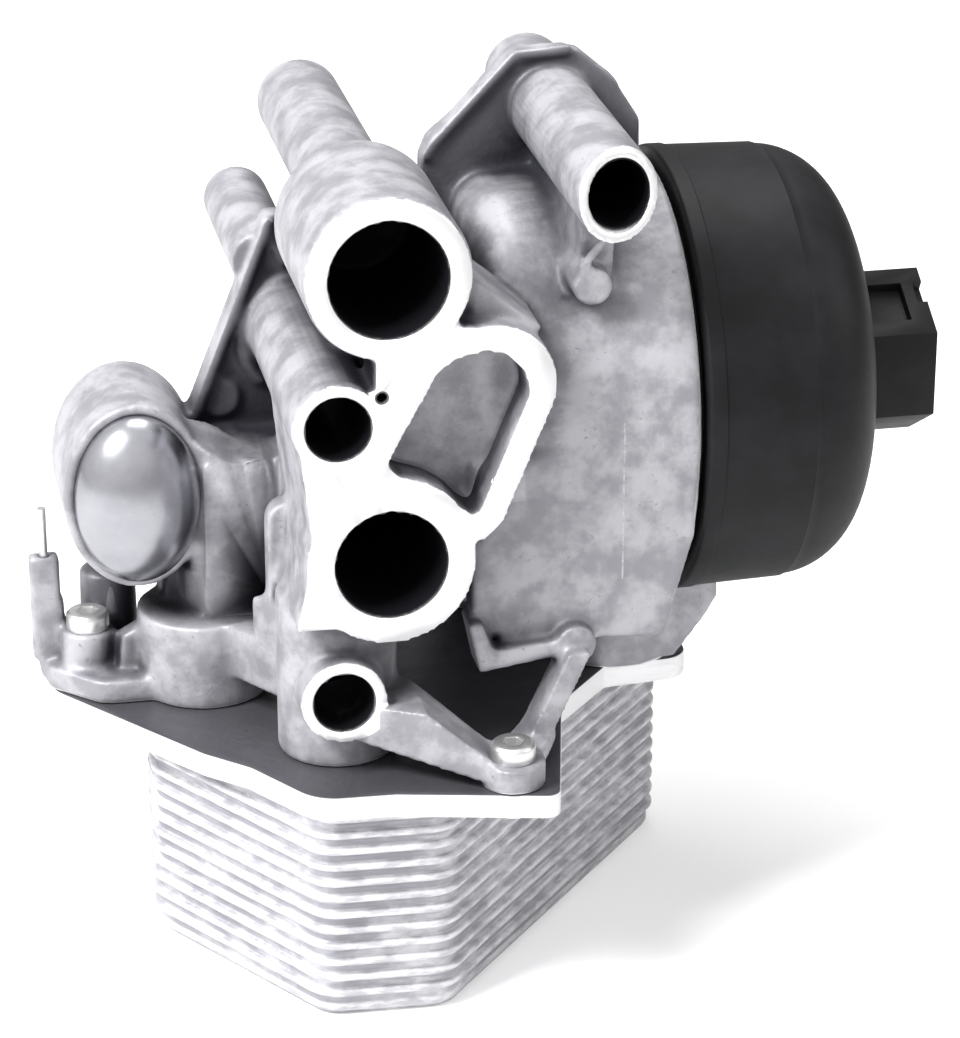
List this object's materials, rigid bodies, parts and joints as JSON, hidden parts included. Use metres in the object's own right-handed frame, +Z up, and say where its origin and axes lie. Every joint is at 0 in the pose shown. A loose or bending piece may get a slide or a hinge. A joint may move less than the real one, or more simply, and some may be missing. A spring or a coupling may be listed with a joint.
{
  "type": "oil filter housing",
  "caption": "Cast engine oil filter housing with a screw-on black filter cap, machined port flange, domed valve cover and a ribbed plate oil cooler below.",
  "frame": {"origin": "centre of the upper oil port on the machined flange face", "axes": "+X along the filter axis towards the cap, +Y away from the engine block, +Z up, away from the cooler"},
  "size_m": [0.1626, 0.1148, 0.156],
  "materials": {
    "cast_aluminium": "as-cast with machined faces",
    "cap_plastic": "moulded, satin",
    "seal_rubber": "smooth",
    "filter_paper": "pleated",
    "element_plastic": "moulded",
    "pipe_steel": "turned",
    "spring_steel": "drawn",
    "cover_metal": "pressed, bright",
    "cooler_aluminium": "brazed sheet",
    "bolt_steel": "zinc-plated"
  },
  "bodies": {
    "base": {"housing": "cast_aluminium", "stand_pipe": "pipe_steel", "check_plug": "pipe_steel", "check_spring": "spring_steel", "domed_cover": "cover_metal", "relief_spring": "spring_steel", "cooler_base_plate": "cooler_aluminium", "cooler_plate_stack": "cooler_aluminium", "cooler_end_plate": "cooler_aluminium", "cooler_seals": "seal_rubber", "cooler_bolts": "bolt_steel", "locating_pin": "bolt_steel"},
    "element": {"filter_pleats": "filter_paper", "filter_centre_tube": "element_plastic", "filter_inner_end_disc": "element_plastic", "filter_outer_end_disc": "element_plastic", "filter_pipe_seal": "seal_rubber"},
    "cap": {"cap": "cap_plastic", "cap_o_ring": "seal_rubber", "bypass_spring": "spring_steel"},
    "bypass": {"bypass_plunger": "element_plastic"},
    "check": {"check_ball": "spring_steel"},
    "relief": {"relief_piston": "pipe_steel"}
  },
  "joints": [
    {"name": "element_slide", "type": "slide", "parent": "base", "child": "element", "axis": [1, 0, 0], "range_m": [0, 0.016]},
    {"name": "cap_turn", "type": "hinge", "parent": "element", "child": "cap", "pos_m": [0, 0.045, -0.0358], "axis": [1, 0, 0], "range_deg": [0, 1440]},
    {"name": "bypass_slide", "type": "slide", "parent": "cap", "child": "bypass", "axis": [1, 0, 0], "range_m": [0, 0.003], "stiffness_N_per_m": 800, "springref_m": -0.004, "deforming": ["bypass_spring"]},
    {"name": "check_slide", "type": "slide", "parent": "base", "child": "check", "axis": [0, 1, 0], "range_m": [0, 0.003], "stiffness_N_per_m": 150, "springref_m": -0.004, "deforming": ["check_spring"]},
    {"name": "relief_slide", "type": "slide", "parent": "base", "child": "relief", "axis": [0, -1, 0], "range_m": [0, 0.005], "stiffness_N_per_m": 2500, "springref_m": -0.006, "deforming": ["relief_spring"]}
  ],
  "couplings": [
    {"joint": "cap_turn", "follows": "element_slide", "rad_per_m": 1570.8}
  ]
}
